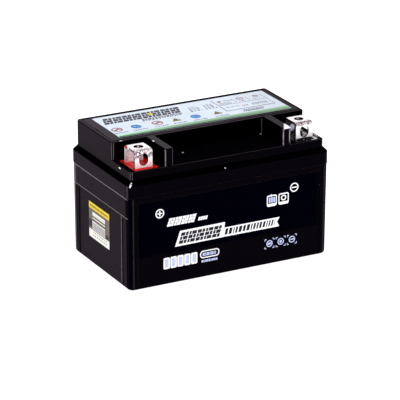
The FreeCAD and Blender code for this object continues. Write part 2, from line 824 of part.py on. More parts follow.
def make_cell_plates(cell):
    """The positive plates, the negative plates and the glass-mat separators of one cell."""
    number = cell + 1
    layers = {"positive": [], "negative": [], "separator": []}
    for kind, index, left, thickness in plate_stack(cell):
        name = f"Cell{number}{kind.title()}{index + 1}"
        if kind == "separator":
            span = (thickness, "2 * Size.separator_half", "Size.separator_top - Size.separator_foot")
            sheet = new_box(name, (left, "-Size.separator_half", "Size.separator_foot"), span)
            layers[kind].append(sheet)
        else:
            lug_middle = f"{strap_side(cell, kind)} * Size.strap_y"
            layers[kind].append(make_plate(name, left, thickness, lug_middle))
    finished(group(f"Cell{number}PositivePlates", layers["positive"]), f"cell_{number}_positive_plates")
    finished(group(f"Cell{number}NegativePlates", layers["negative"]), f"cell_{number}_negative_plates")
    finished(group(f"Cell{number}Separators", layers["separator"]), f"cell_{number}_separators")


def make_strap(cell, pole):
    """The cast strap over a cell's lugs, with a tab against the partition where it joins the next cell."""
    number = cell + 1
    name = f"Cell{number}{pole.title()}Strap"
    low_y = f"({strap_side(cell, pole)} * Size.strap_y - Size.strap_width / 2)"
    bar = new_box(
        f"{name}Bar",
        (f"{cell_start(cell)} + Size.strap_margin", low_y, "Size.strap_base"),
        (f"{CELL_WIDTH} - 2 * Size.strap_margin", "Size.strap_width", "Size.strap_top - Size.strap_base"),
    )
    pieces = [bar]
    joins_right = pole == "negative" and cell < CELLS - 1
    joins_left = pole == "positive" and cell > 0
    if joins_left or joins_right:
        tab_left = cell_start(cell) if joins_left else f"({cell_start(cell)} + {CELL_WIDTH} - Size.tab_thick)"
        pieces.append(
            new_box(
                f"{name}Tab",
                (tab_left, low_y, "Size.strap_base"),
                ("Size.tab_thick", "Size.strap_width", "Size.tab_top - Size.strap_base"),
            )
        )
        return finished(fuse(name, pieces), f"cell_{number}_{pole}_strap")
    return finished(bar, f"cell_{number}_{pole}_strap")


def make_weld(wall):
    """The lead that fills the hole through one partition and joins the tabs on its two sides."""
    side = 1 if wall % 2 == 0 else -1
    base = (f"{cell_start(wall + 1)} - Size.partition", f"{side} * Size.strap_y", "Size.weld_level")
    weld = new_cylinder(f"Weld{wall + 1}", base, "Size.weld_diameter", "Size.partition", along_x=True)
    return finished(weld, f"intercell_weld_{wall + 1}")


# ---------------------------------------------------------------- the whole battery


def make_battery():
    make_container()
    make_lid()
    make_valve_cover()
    make_labels()
    for pole, side in (("positive", -1), ("negative", 1)):
        terminal = make_terminal(pole, side)
        post = make_post(pole, side)
        make_post_ring(pole, side)
        make_seal(pole, side, terminal, post)
    for cell in range(CELLS):
        make_valve_cap(cell)
        make_cell_plates(cell)
        make_strap(cell, "positive")
        make_strap(cell, "negative")
    for wall in range(CELLS - 1):
        make_weld(wall)
    document.recompute()


def check_document():
    """Stop if any object failed or any sub-part has no valid solid."""
    for thing in document.Objects:
        if "Invalid" in thing.State or "Error" in thing.State:
            raise RuntimeError(f"{thing.Name} failed: {thing.State}")
    for thing in sub_parts:
        shape = thing.Shape
        if shape.isNull() or not shape.isValid() or not shape.Solids:
            raise RuntimeError(f"{thing.Label} has no valid solid")


def export_parts():
    os.makedirs("parts", exist_ok=True)
    for thing in sub_parts:
        thing.Shape.exportStep(f"parts/{thing.Label}.step")
        box = thing.Shape.BoundBox
        print(f"{thing.Label:28s} {len(thing.Shape.Solids):2d} solids  {thing.Shape.Volume:10.1f} mm3"
              f"  {box.XLength:7.2f} {box.YLength:7.2f} {box.ZLength:7.2f}")


make_battery()
check_document()
export_parts()
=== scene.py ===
import math
import random

import bmesh
import bpy
from mathutils import Matrix, Vector


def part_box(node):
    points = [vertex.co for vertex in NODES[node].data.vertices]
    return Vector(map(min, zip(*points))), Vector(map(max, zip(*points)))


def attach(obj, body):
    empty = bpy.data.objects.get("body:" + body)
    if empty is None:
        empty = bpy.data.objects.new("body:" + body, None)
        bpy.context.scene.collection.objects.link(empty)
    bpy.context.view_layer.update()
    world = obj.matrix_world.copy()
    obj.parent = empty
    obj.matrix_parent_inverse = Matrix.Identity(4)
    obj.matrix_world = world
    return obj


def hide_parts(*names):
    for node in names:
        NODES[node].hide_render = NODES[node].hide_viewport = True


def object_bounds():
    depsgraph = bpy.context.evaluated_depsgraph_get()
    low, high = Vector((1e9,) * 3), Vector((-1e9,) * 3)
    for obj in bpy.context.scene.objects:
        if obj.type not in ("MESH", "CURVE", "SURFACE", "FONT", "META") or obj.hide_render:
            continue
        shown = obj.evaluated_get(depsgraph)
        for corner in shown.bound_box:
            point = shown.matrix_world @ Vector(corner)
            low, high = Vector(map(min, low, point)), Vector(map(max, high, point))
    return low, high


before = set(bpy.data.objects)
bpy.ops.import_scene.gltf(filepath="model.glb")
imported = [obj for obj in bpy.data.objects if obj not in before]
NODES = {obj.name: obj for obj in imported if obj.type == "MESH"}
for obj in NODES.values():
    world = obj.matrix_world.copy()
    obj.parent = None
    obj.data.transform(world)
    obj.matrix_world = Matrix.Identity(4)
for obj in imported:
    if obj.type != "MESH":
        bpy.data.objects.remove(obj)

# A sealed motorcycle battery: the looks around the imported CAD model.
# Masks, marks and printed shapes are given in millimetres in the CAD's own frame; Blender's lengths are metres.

MM = 0.001
CAD_BOX = [list(corner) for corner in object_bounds()]
LOW, HIGH = (Vector(corner) for corner in CAD_BOX)
CENTRE = (LOW + HIGH) / 2
BODY = "case"


def box_mm(node):
    """Lowest and highest corner of a CAD node, in millimetres."""
    low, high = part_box(node)
    return low / MM, high / MM


def colour(red, green, blue):
    """A colour given as it looks on a screen, 0 to 255, as Blender's linear colour."""
    linear = []
    for value in (red, green, blue):
        share = value / 255
        linear.append(share / 12.92 if share <= 0.04045 else ((share + 0.055) / 1.055) ** 2.4)
    return (*linear, 1.0)


def shaded(tint, share):
    """The same colour at a share of its brightness."""
    return (*(share * part for part in tint[:3]), 1.0)


def new_object(name, data):
    """An object for this mesh, light or camera, placed in the scene."""
    made = bpy.data.objects.new(name, data)
    bpy.context.scene.collection.objects.link(made)
    return made


def new_piece(name, mesh, materials):
    """The finished mesh as an object with those materials."""
    data = bpy.data.meshes.new(name)
    mesh.to_mesh(data)
    mesh.free()
    for material in materials:
        data.materials.append(material)
    return new_object(name, data)


def direction(azimuth, elevation):
    """The unit vector that points there from the object; azimuth 0 is straight in front of it."""
    return Vector((
        math.sin(azimuth) * math.cos(elevation), -math.cos(azimuth) * math.cos(elevation), math.sin(elevation)
    ))


# ---------------------------------------------------------------- material nodes


class Shader:
    """One procedural material: its Principled shader, and short ways to add the nodes that feed it."""

    def __init__(self, name):
        self.material = bpy.data.materials.new(name)
        self.material.use_nodes = True
        self.tree = self.material.node_tree
        self.surface = self.tree.nodes["Principled BSDF"]
        self.place = self.add("ShaderNodeTexCoord").outputs["Object"]

    def add(self, kind, inputs=None, **settings):
        """A new node; an input is a value or the socket that feeds it, by name or by number."""
        node = self.tree.nodes.new(kind)
        for name, value in settings.items():
            setattr(node, name, value)
        for name, value in (inputs or {}).items():
            self.feed(node.inputs[name], value)
        return node

    def feed(self, socket, value):
        """Gives a socket its value, or links to it the socket that feeds it."""
        if isinstance(value, bpy.types.NodeSocket):
            self.tree.links.new(value, socket)
        else:
            socket.default_value = value

    def set(self, **inputs):
        """Sets inputs of the Principled shader; an underscore in a name stands for a space."""
        for name, value in inputs.items():
            self.feed(self.surface.inputs[name.replace("_", " ")], value)

    def maths(self, operation, first, second=0.0):
        """One sum on two shares, by the name Blender has for it."""
        return self.add("ShaderNodeMath", {0: first, 1: second}, operation=operation).outputs[0]

    def noise(self, size_mm, detail=3.0, stretch=None):
        """Noise from 0 to 1 whose patches are about size_mm across; stretch scales X, Y and Z first."""
        place = self.place
        if stretch is not None:
            mapping = self.add("ShaderNodeMapping", {"Vector": place, "Scale": stretch})
            place = mapping.outputs["Vector"]
        inputs = {"Vector": place, "Scale": 1 / (size_mm * MM), "Detail": detail, "Roughness": 0.55}
        return self.add("ShaderNodeTexNoise", inputs).outputs["Fac"]

    def span(self, value, low, high, to_low=0.0, to_high=1.0):
        """value's stretch from low to high, spread over to_low to to_high and held there."""
        inputs = {0: value, 1: low, 2: high, 3: to_low, 4: to_high}
        return self.add("ShaderNodeMapRange", inputs, clamp=True).outputs[0]

    def blend(self, share, first, second):
        """first where share is 0 and second where it is 1."""
        inputs = {"Fac": share, "Color1": first, "Color2": second}
        return self.add("ShaderNodeMixRGB", inputs, blend_type="MIX").outputs["Color"]

    def edges(self, radius_mm, low=0.02, high=0.3):
        """1 along the edges, within radius_mm of them, and 0 on flat faces."""
        round_normal = self.add("ShaderNodeBevel", {"Radius": radius_mm * MM}, samples=6).outputs[0]
        flat_normal = self.add("ShaderNodeNewGeometry").outputs["True Normal"]
        inputs = {0: round_normal, 1: flat_normal}
        alike = self.add("ShaderNodeVectorMath", inputs, operation="DOT_PRODUCT").outputs["Value"]
        return self.span(self.maths("SUBTRACT", 1.0, alike), low, high)

    def magnitude(self, value):
        """The value without its sign."""
        return self.maths("ABSOLUTE", value)

    def product(self, *shares):
        """All the shares multiplied together; a plain number weakens or strengthens the rest."""
        total = shares[0]
        for share in shares[1:]:
            total = self.maths("MULTIPLY", total, share)
        return total

    def strongest(self, *shares):
        """The highest of the shares."""
        total = shares[0]
        for share in shares[1:]:
            total = self.maths("MAXIMUM", total, share)
        return total

    def upright_rounds(self, low, high):
        """1 on the upright rounded corners where the surface faces between low and high along X."""
        across = self.magnitude(self.facing("X"))
        level = self.magnitude(self.facing("Z"))
        rise = self.span(across, low - 0.08, low + 0.02)
        fall = self.span(across, high - 0.02, high + 0.03, 1.0, 0.0)
        return self.product(rise, fall, self.span(level, 0.1, 0.25, 1.0, 0.0))

    def spot(self, centre_mm, reach_mm):
        """1 in a small ellipsoid round a point; reach_mm is its half length along X, Y and Z."""
        centre = Vector(centre_mm) * MM
        off = self.add("ShaderNodeVectorMath", {0: self.place, 1: centre}, operation="SUBTRACT").outputs[0]
        scale = tuple(1 / (reach * MM) for reach in reach_mm)
        scaled = self.add("ShaderNodeVectorMath", {0: off, 1: scale}, operation="MULTIPLY").outputs[0]
        length = self.add("ShaderNodeVectorMath", {0: scaled}, operation="LENGTH").outputs["Value"]
        return self.span(length, 0.75, 1.1, 1.0, 0.0)

    def bumps(self, *layers, soften_mm=0.0):
        """A normal from layers of (height, depth in mm), over edges softened by soften_mm."""
        normal = None
        if soften_mm:
            normal = self.add("ShaderNodeBevel", {"Radius": soften_mm * MM}, samples=6).outputs[0]
        for height, depth_mm in layers:
            inputs = {"Height": height, "Strength": 1.0, "Distance": depth_mm * MM}
            if normal is not None:
                inputs["Normal"] = normal
            normal = self.add("ShaderNodeBump", inputs).outputs["Normal"]
        return normal

    def axis(self, name):
        """The object's own X, Y or Z, in metres."""
        return self.add("ShaderNodeSeparateXYZ", {"Vector": self.place}).outputs[name]

    def facing(self, name):
        """How far the surface faces along X, Y or Z, from -1 to 1."""
        flat_normal = self.add("ShaderNodeNewGeometry").outputs["True Normal"]
        return self.add("ShaderNodeSeparateXYZ", {"Vector": flat_normal}).outputs[name]

    def inside(self, name, low_mm, high_mm, fade_mm=0.15):
        """1 where that coordinate lies between low_mm and high_mm, 0 outside, with soft borders."""
        where = self.axis(name)
        fade = fade_mm * MM
        rise = self.span(where, low_mm * MM - fade, low_mm * MM + fade)
        fall = self.span(where, high_mm * MM - fade, high_mm * MM + fade, 1.0, 0.0)
        return self.product(rise, fall)


# ---------------------------------------------------------------- materials


BLACK_PLASTIC = colour(3, 2, 5)
# Colours of painted light on the plastic: a pale highlight for edges, and a white glint.
PAINTED_HIGHLIGHT_PLASTIC = colour(150, 138, 150)
PAINTED_GLINT_WHITE = colour(250, 248, 255)


def plastic(made, shade, deep, shine, roughness, painted_highlights, bright, dark):
    """Black moulded polypropylene: fine grain and flow marks, with painted highlights along edges, painted glints
    and painted shade.
    """
    grain = made.noise(0.45, 4.0)
    flow = made.noise(22.0, 2.0, (1.0, 1.0, 2.2))
    # Painted light: highlights along edges in a pale colour broken up by noise, glints in white, and shade in the
    # dark colour, which also takes away specular and sheen.
    highlight_share = made.product(painted_highlights, made.span(made.noise(3.0), 0.25, 0.6, 0.6, 1.0))
    body = made.blend(flow, shade, shaded(shade, 0.7))
    body = made.blend(highlight_share, body, PAINTED_HIGHLIGHT_PLASTIC)
    dark = made.product(dark, made.span(highlight_share, 0.0, 0.15, 1.0, 0.0))
    body = made.blend(dark, body, deep)
    body = made.blend(bright, body, PAINTED_GLINT_WHITE)
    light = made.strongest(highlight_share, bright)
    made.set(
        Base_Color=body,
        Roughness=made.span(flow, 0.2, 0.8, roughness - 0.04, roughness + 0.05),
        Specular_IOR_Level=made.product(
            made.span(light, 0.0, 1.0, shine, 0.5), made.span(dark, 0.0, 1.0, 1.0, 0.0)
        ),
        Sheen_Weight=made.span(dark, 0.0, 1.0, 0.2, 0.0),
        Sheen_Roughness=0.3,
        Sheen_Tint=colour(255, 200, 250),
        Normal=made.bumps((grain, 0.008), (flow, 0.05), soften_mm=0.4),
    )
    return made.material


def case_plastic():
    """The container, with painted darkness on the front panel, painted shade in a groove and near the front corners,
    and painted highlight streaks along the rim, the panel's edges and the upright corners.
    """
    made = Shader("case_plastic")
    low, high = FRONT_PANEL
    # Painted darkness over the upper front panel, standing for a dark reflection there.
    panel = made.product(
        made.inside("X", low.x, high.x), made.inside("Y", low.y, high.y), made.inside("Z", low.z, high.z)
    )
    # Painted highlights: a line under the rim, along the end panel's top and side, on the far edge and on the
    # upright rounded corners.
    sideways = made.span(made.magnitude(made.facing("X")), 0.9, 0.97)
    under_rim = made.product(sideways, made.inside("Z", 63.3, 64.1, 0.1))
    panel_top = made.product(sideways, made.inside("Z", 50.0, 50.6, 0.1))
    panel_side = made.product(sideways, made.inside("Y", -29.3, -28.7, 0.1), made.inside("Z", 2.0, 50.0))
    # Painted shade in the groove beside the end panel and near the front corners.
    groove_shade = made.product(sideways, made.inside("Y", -32.6, -31.2, 0.2), made.inside("Z", 1.0, 47.5))
    outward = made.span(made.magnitude(made.facing("X")), 0.2, 0.4)
    near_corner_shade = made.product(outward, made.inside("Y", -44.0, -37.5, 0.3))
    far_edge_highlight = made.product(outward, made.inside("Y", 36.4, 39.6, 0.3), 0.12)
    behind = made.span(made.facing("Y"), -0.1, 0.1, 0.02, 0.16)
    leftward = made.span(made.facing("X"), -0.2, 0.2, 1.0, 0.2)
    corner = made.product(made.upright_rounds(0.88, 0.96), behind, leftward)
    second = made.product(made.upright_rounds(0.22, 0.36), 0.07)
    highlight_lines = made.product(made.strongest(under_rim, panel_top), 0.42)
    painted_highlights = made.strongest(highlight_lines, made.product(panel_side, 0.32), far_edge_highlight, corner, second)
    dark = made.strongest(made.product(panel, 0.8), groove_shade, made.product(near_corner_shade, 0.75))
    return plastic(
        made, BLACK_PLASTIC, colour(0, 0, 8), shine=0.008, roughness=0.3, painted_highlights=painted_highlights, bright=0.0, dark=dark
    )


def lid_plastic():
    """The lid, with painted highlights on upright corners, ribs and the recess's front lip, painted shade on the top
    edge, shoulders, front recess and right side, and painted glints and reflections.
    """
    made = Shader("lid_plastic")
    # Painted highlight lines on the upright rounded corners of the ribs, the block and the step, and along the
    # recess's front lip.
    above = made.inside("Z", 76.4, 95.0, 0.1)
    leftward = made.span(made.facing("X"), -0.2, 0.2, 1.0, 0.45)
    central = made.inside("X", -50.0, 50.0)
    ribs = made.product(made.upright_rounds(0.5, 0.92), central, above, leftward, 0.55)
    outer = made.product(made.span(central, 0.0, 1.0, 1.0, 0.0), above, leftward, 0.3)
    pair = made.strongest(made.upright_rounds(0.86, 0.95), made.upright_rounds(0.3, 0.48))
    tall = made.strongest(ribs, made.product(pair, outer))
    low = made.product(made.upright_rounds(0.88, 0.96), made.inside("Z", 60.0, 76.3, 0.1), leftward, 0.12)
    lips = made.edges(0.45)
    front_lip = made.product(lips, made.inside("Y", -40.9, -39.9), made.inside("Z", 81.2, 81.9), 0.3)
    # Painted shade on the block's top edge, the shoulders, inside the front recess and on level faces towards the
    # right end.
    slope = made.facing("Z")
    turning = made.product(made.span(slope, 0.25, 0.5), made.span(slope, 0.85, 0.97, 1.0, 0.0))
    top_edge_shade = made.product(turning, made.inside("Z", 93.2, 94.2), 0.8)
    shoulder_shade = made.product(made.span(slope, 0.4, 0.6), made.span(slope, 0.8, 0.95, 1.0, 0.0))
    recess_shade = made.product(
        made.inside("Y", -40.2, -13.3, 0.05),
        made.inside("Z", 78.5, 93.7, 0.1),
        made.inside("X", -71.7, 71.7, 0.05),
        0.93,
    )
    level = made.span(slope, 0.8, 0.95)
    right_side_shade = made.product(level, made.span(made.axis("X"), 0.0, 0.055), 0.4)
    # Painted glints at small spots.
    glint_spots = made.strongest(
        made.spot((-72.0, -41.7, 75.4), (0.7, 0.9, 1.0)),
        made.spot((-72.8, -42.2, 74.2), (0.7, 0.9, 1.2)),
        made.spot((-73.4, -42.5, 73.0), (0.5, 0.8, 0.8)),
        made.spot((-46.3, -22.4, 94.0), (0.7, 1.3, 0.5)),
        made.spot((-3.8, -42.0, 74.2), (0.6, 0.7, 0.4)),
        made.spot((-23.9, -21.0, 81.7), (0.7, 0.6, 0.3)),
        made.spot((-65.0, -12.6, 94.0), (1.2, 0.4, 0.5)),
        made.spot((-71.85, -24.5, 80.0), (0.5, 1.6, 0.5)),
    )
    # The painted highlight on the rib's tip is a triangle, so it ends at a slanting line: x / 6 - y / 10.35 - 9.7 mm
    # passes 1 mm.
    beside = made.maths("ADD", made.product(made.axis("X"), 1 / 6.0), -6.8 * MM)
    before = made.maths("ADD", made.product(made.axis("Y"), -1 / 10.35), -2.9 * MM)
    rib_tip_highlight = made.product(
        made.span(made.maths("ADD", beside, before), 1.0 * MM, 1.15 * MM),
        made.inside("X", 40.5, 47.5),
        made.inside("Y", -41.0, -29.0),
        made.inside("Z", 93.3, 94.3),
    )
    # Painted reflections as streaks on the right rib's front face and in the recess.
    reflection_streaks = made.strongest(
        made.product(made.spot((41.0, -40.5, 88.0), (0.25, 0.9, 5.8)), 0.35),
        made.product(made.spot((40.9, -40.5, 83.2), (0.4, 0.9, 0.9)), 0.6),
        made.product(made.spot((45.6, -40.5, 88.2), (0.35, 0.9, 5.2)), 0.3),
        made.product(made.spot((38.7, -13.3, 82.1), (0.75, 0.6, 0.5)), 0.45),
    )
    # Painted highlight lines at the foot of the rib and along the right well's lip.
    rib_foot_highlight = made.product(
        made.inside("X", 39.2, 39.7, 0.1), made.inside("Z", 82.0, 93.0), made.inside("Y", -14.0, -13.0), 0.1
    )
    well_lip_highlight = made.product(made.spot((70.5, -28.5, 81.7), (0.35, 8.0, 0.3)), 0.85)
    bright = made.strongest(glint_spots, reflection_streaks, rib_tip_highlight, rib_foot_highlight, well_lip_highlight)
    painted_highlights = made.strongest(tall, low, front_lip)
    dark = made.strongest(shoulder_shade, recess_shade, right_side_shade, top_edge_shade)
    return plastic(
        made, BLACK_PLASTIC, colour(0, 0, 1), shine=0.008, roughness=0.17, painted_highlights=painted_highlights, bright=bright, dark=dark
    )


def cover_plastic():
    """The valve cover, in the same plastic, with painted shade along the seam where it drops into the lid, towards
    its right end and under the label's front edge.
    """
    made = Shader("cover_plastic")
    low, high = box_mm("valve_cover")
    across = made.inside("X", low.x + 1.0, high.x - 1.0)
    along = made.inside("Y", low.y + 1.5, high.y - 1.5)
    # Painted shade along the seam, towards the right end, and as a shadow under the label's front edge.
    side_seam_shade = made.span(across, 0.0, 1.0, 0.55, 0.0)
    front_seam_shade = made.span(along, 0.0, 1.0, 0.9, 0.0)
    right_side_shade = made.product(made.span(made.axis("X"), 0.010, 0.024), 0.45)
    label_shadow = made.product(made.inside("Y", -7.8, -6.2, 0.1), made.inside("X", -62.0, 66.0), 0.95)
    dark = made.strongest(side_seam_shade, front_seam_shade, right_side_shade, label_shadow)
    return plastic(
        made, colour(4, 2, 4), colour(0, 0, 1), shine=0.009, roughness=0.2, painted_highlights=0.0, bright=0.0, dark=dark
    )


def metal(name, centre, tint, hollow_reflection, cut_noise, cut_back, mottle_low, marks):
    """Tinned brass: milky metal with mottled bends, dark cut edges, painted shade on the hole and slot walls, a
    painted reflection in the hollow and a few marks, most of them painted glints.

    The cut edges darken where noise passes cut_noise, as far back as Y cut_back; mottling starts at Z mottle_low.
    """
    made = Shader(name)
    drawn = made.noise(0.7, 5.0, (1.0, 1.0, 0.12))
    spots = made.noise(2.2, 4.0)
    cloudy = made.blend(made.span(spots, 0.5, 0.8), tint, colour(205, 200, 198))
    pink_mottle = made.product(
        made.span(made.noise(1.0, 3.0), 0.5, 0.56),
        made.inside("Z", mottle_low, 93.3, 0.6),
        made.inside("Y", -34.0, -30.2, 0.8),
    )
    cloudy = made.blend(made.product(pink_mottle, 0.75), cloudy, colour(206, 166, 172))
    wander = made.magnitude(made.maths("SUBTRACT", made.noise(1.9, 3.0), 0.5))
    bend = made.product(made.inside("Z", mottle_low, 93.2, 0.5), made.inside("Y", -34.0, -29.8, 0.5))
    veins = made.product(made.span(wander, 0.035, 0.065, 1.0, 0.0), bend, 0.95)
    cloudy = made.blend(veins, cloudy, colour(52, 34, 40))
    across = made.magnitude(made.facing("X"))
    worn_through = made.span(made.noise(1.2, 3.0), cut_noise, cut_noise + 0.06)
    cut = made.product(made.span(across, 0.8, 0.95), worn_through, made.inside("Y", -35.0, cut_back, 0.8))
    level = made.magnitude(made.facing("Z"))
    forward = made.magnitude(made.facing("Y"))
    near_hole = made.inside("X", centre.x - 3.5, centre.x + 3.5, 0.05)
    # Painted shade on the walls of the top hole and the front slot, in the dark colour of the cut edges.
    hole_wall_shade = made.product(
        near_hole, made.inside("Y", centre.y - 3.5, centre.y + 3.5, 0.05), made.span(level, 0.6, 0.4)
    )
    slot_wall_shade = made.product(near_hole, made.inside("Y", -33.15, -31.75, 0.05), made.span(forward, 0.6, 0.4))
    # Painted reflection inside the hollow, in the colour given for it.
    inner = made.product(made.inside("Y", -31.9, -19.2, 0.1), made.inside("Z", 70.0, 91.6, 0.1))
    patches = made.span(made.noise(1.6, 4.0), 0.42, 0.55)
    body = made.blend(inner, cloudy, made.blend(patches, hollow_reflection, shaded(hollow_reflection, 0.75)))
    dark = made.strongest(cut, hole_wall_shade, slot_wall_shade)
    body = made.blend(dark, body, colour(8, 6, 8))
    for place_mm, reach_mm, shade in marks:
        body = made.blend(made.spot(place_mm, reach_mm), body, shade)
    made.set(
        Base_Color=body,
        Metallic=made.span(spots, 0.2, 0.9, 0.22, 0.08),
        Roughness=made.span(drawn, 0.3, 0.75, 0.3, 0.46),
        Specular_IOR_Level=made.span(dark, 0.0, 1.0, 0.5, 0.05),
        Normal=made.bumps((drawn, 0.02), (spots, 0.05), soften_mm=0.2),
    )
    return made.material


def resin(name, tint, deep, glint, patches):
    """Poured terminal resin: glossy, coloured through, with faint swirls and bubbles, and painted glints as white
    specks and patches.

    glint is how bright the specks are; each patch is a place and its half size in millimetres.
    """
    made = Shader(name)
    swirl = made.noise(5.0, 4.0)
    cells = made.add("ShaderNodeTexVoronoi", {"Vector": made.place, "Scale": 1 / (1.9 * MM)})
    bubbles = made.span(cells.outputs["Distance"], 0.05, 0.16, 1.0, 0.0)
    # Painted glints: white specks where noise peaks, and white patches where the pool shows bright reflections.
    glint_specks = made.product(made.span(made.noise(1.3, 3.0), 0.6, 0.64), glint)
    body = made.blend(made.span(swirl, 0.3, 0.75), tint, deep)
    for place_mm, reach_mm in patches:
        glint_specks = made.strongest(glint_specks, made.spot(place_mm, reach_mm))
    made.set(
        Base_Color=made.blend(glint_specks, body, colour(250, 240, 240)),
        Roughness=made.span(swirl, 0.2, 0.8, 0.08, 0.16),
        Specular_IOR_Level=0.12,
        Normal=made.bumps((swirl, 0.12), (bubbles, 0.02)),
    )
    return made.material


def film(name, tint):
    """Printed label film: slightly wavy, with a faint sheen of handling marks, and painted shade darkening it
    towards its right end.
    """
    made = Shader(name)
    waves = made.noise(14.0, 2.0)
    fibres = made.noise(0.35, 4.0)
    marks = made.span(made.noise(6.0, 5.0), 0.35, 0.8)
    # Painted shade darkening the film towards its right end.
    label_right_shade = made.product(made.span(made.axis("X"), 0.03, 0.066), 0.8)
    body = made.blend(made.product(marks, 0.6), tint, shaded(tint, 0.95))
    made.set(
        Base_Color=made.blend(label_right_shade, body, shaded(tint, 0.78)),
        Roughness=made.span(marks, 0.0, 1.0, 0.3, 0.45),
        Specular_IOR_Level=0.3,
        Normal=made.bumps((waves, 0.03), (fibres, 0.004)),
    )
    return made.material


def ink(name, tint, cover=0.9, left_tint=None, turn=(-0.06, -0.02)):
    """Screen-printed ink with a rough skin.

    cover is its brightness at the fine pinholes; left_tint is its colour left of turn, a stretch of X in metres.
    """
    made = Shader(name)
    mesh = made.noise(0.28, 3.0)
    body = made.blend(made.span(mesh, 0.4, 0.75), tint, shaded(tint, cover))
    if left_tint is not None:
        body = made.blend(made.span(made.axis("X"), *turn, 1.0, 0.0), body, left_tint)
    made.set(
        Base_Color=body,
        Roughness=made.span(mesh, 0.2, 0.8, 0.45, 0.62),
        Specular_IOR_Level=0.2,
        Normal=made.bumps((mesh, 0.004)),
    )
    return made.material


def lead():
    """Cast lead: dull blue-grey with oxide clouds and casting ripples."""
    made = Shader("cast_lead")
    cloud = made.noise(3.0, 5.0)
    ripple = made.noise(0.8, 3.0)
    made.set(
        Base_Color=made.blend(made.span(cloud, 0.3, 0.7), colour(122, 124, 130), colour(78, 80, 88)),
        Metallic=made.span(cloud, 0.2, 0.8, 0.9, 0.55),
        Roughness=made.span(ripple, 0.2, 0.8, 0.38, 0.6),
        Normal=made.bumps((cloud, 0.08), (ripple, 0.03), soften_mm=0.3),
    )
    return made.material


def paste(name, tint, dark):
    """A pasted plate: porous active mass over the faint ribs of its grid."""
    made = Shader(name)
    pores = made.noise(0.5, 5.0)
    inputs = {"Vector": made.place, "Scale": 1 / (10.0 * MM), "Distortion": 0.4, "Detail": 1.0}
    ribs = made.add("ShaderNodeTexWave", inputs, bands_direction="Z").outputs["Fac"]
    made.set(
        Base_Color=made.blend(made.span(pores, 0.3, 0.7), tint, dark),
        Roughness=made.span(pores, 0.2, 0.8, 0.75, 0.95),
        Normal=made.bumps((ribs, 0.12), (pores, 0.06)),
    )
    return made.material


def glass_mat():
    """The absorbent glass mat: white matted fibres, damp in patches."""
    made = Shader("glass_mat")
    fibres = made.noise(0.3, 6.0, (1.0, 0.25, 1.0))
    damp = made.span(made.noise(9.0, 3.0), 0.35, 0.7)
    made.set(
        Base_Color=made.blend(damp, colour(236, 234, 226), colour(204, 200, 190)),
        Roughness=made.span(damp, 0.0, 1.0, 0.95, 0.6),
        Sheen_Weight=0.3,
        Normal=made.bumps((fibres, 0.08)),
    )
    return made.material


def rubber():
    """The valve cap's soft rubber: matt black with powder in its pores."""
    made = Shader("valve_rubber")
    powder = made.noise(0.6, 5.0)
    dusty = made.span(powder, 0.45, 0.8)
    made.set(
        Base_Color=made.blend(dusty, colour(30, 30, 32), colour(66, 65, 64)),
        Roughness=made.span(powder, 0.2, 0.8, 0.7, 0.9),
        Normal=made.bumps((powder, 0.03), soften_mm=0.2),
    )
    return made.material


def clothe(material, *names):
    """Gives CAD nodes their finished material."""
    for name in names:
        for slot in NODES[name].material_slots:
            slot.material = material


# ---------------------------------------------------------------- flat shapes for printing


def bar(left, bottom, right, top, slant=0.0):
    """A rectangle, or with slant a parallelogram whose top leans that share of its height to the right."""
    lean = slant * (top - bottom)
    return [(left, bottom), (right, bottom), (right + lean, top), (left + lean, top)]


def disc(x, y, radius, steps=40):
    """A regular many-sided outline; three steps make a triangle that points up."""
    turns = [math.pi / 2 + 2 * math.pi * step / steps for step in range(steps)]
    return [(x + radius * math.cos(turn), y + radius * math.sin(turn)) for turn in turns]


def rounded(left, bottom, right, top, radius, steps=6):
    """A rectangle with rounded corners."""
    points = []
    corners = ((right, top, 0), (left, top, 1), (left, bottom, 2), (right, bottom, 3))
    for x, y, quarter in corners:
        middle_x = x - radius if x == right else x + radius
        middle_y = y - radius if y == top else y + radius
        for step in range(steps + 1):
            turn = math.pi / 2 * (quarter + step / steps)
            points.append((middle_x + radius * math.cos(turn), middle_y + radius * math.sin(turn)))
    return points


class Print:
    """A piece made of flat printed shapes, each a thin closed prism lying on one flat surface."""

    def __init__(self, name, place):
        self.name = name
        self.place = place
        self.mesh = bmesh.new()
        self.inks = []

    def number(self, material):
        """The material's place in the piece's list, where it is added when new."""
        if material not in self.inks:
            self.inks.append(material)
        return self.inks.index(material)

    def loop(self, outline, height):
        """The outline's points as vertices at that height above the surface."""
        return [self.mesh.verts.new(self.place(u, v, height)) for u, v in outline]

    def shape(self, material, outline, low, high):
        """A filled outline from low to high above the surface, in millimetres."""
        below, above = self.loop(outline, low), self.loop(outline, high)
        faces = [self.mesh.faces.new(above), self.mesh.faces.new(below[::-1])]
        faces += self.walls(below, above)
        self.dye(faces, material)

    def band(self, material, outer, inner, low, high):
        """The band between two outlines that have the same number of points."""
        rings = [self.loop(outer, low), self.loop(outer, high), self.loop(inner, high), self.loop(inner, low)]
        faces = []
        for first, second in zip(rings, rings[1:] + rings[:1]):
            faces += self.walls(first, second)
        self.dye(faces, material)

    def walls(self, first, second):
        """The faces that join two loops of vertices."""
        count = len(first)
        sides = []
        for here in range(count):
            beyond = (here + 1) % count
            sides.append(self.mesh.faces.new([first[here], first[beyond], second[beyond], second[here]]))
        return sides

    def dye(self, faces, material):
        """Gives the faces that material."""
        for face in faces:
            face.material_index = self.number(material)

    def finish(self, slot, *stands_for):
        """The finished piece, riding on the case."""
        bmesh.ops.recalc_face_normals(self.mesh, faces=self.mesh.faces)
        piece = new_piece(self.name, self.mesh, self.inks)
        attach(piece, BODY)
        if stands_for:
            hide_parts(*stands_for)
        return piece


